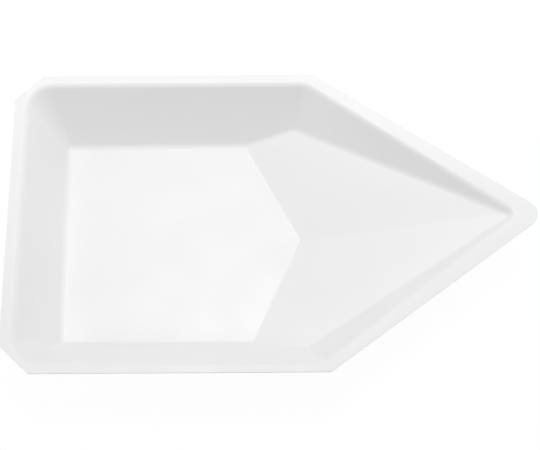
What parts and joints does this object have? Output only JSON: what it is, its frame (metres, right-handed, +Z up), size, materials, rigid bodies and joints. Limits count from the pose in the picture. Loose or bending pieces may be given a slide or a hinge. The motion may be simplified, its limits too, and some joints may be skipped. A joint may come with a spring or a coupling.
{
  "type": "weighing boat",
  "caption": "Shallow thin-sheet weighing dish with sloped walls, a flat flange and a pointed pouring spout with two rising ramps.",
  "frame": {"origin": "middle of the overall length and width, on the plane of the floor's lower face", "axes": "+X along the boat to the pouring tip, +Y across it, +Z up out of the pocket"},
  "size_m": [0.143, 0.089, 0.0168],
  "materials": {
    "sheet": "white thermoformed polystyrene sheet, satin, faintly translucent"
  },
  "bodies": {
    "root": {"boat": "sheet"}
  },
  "joints": []
}
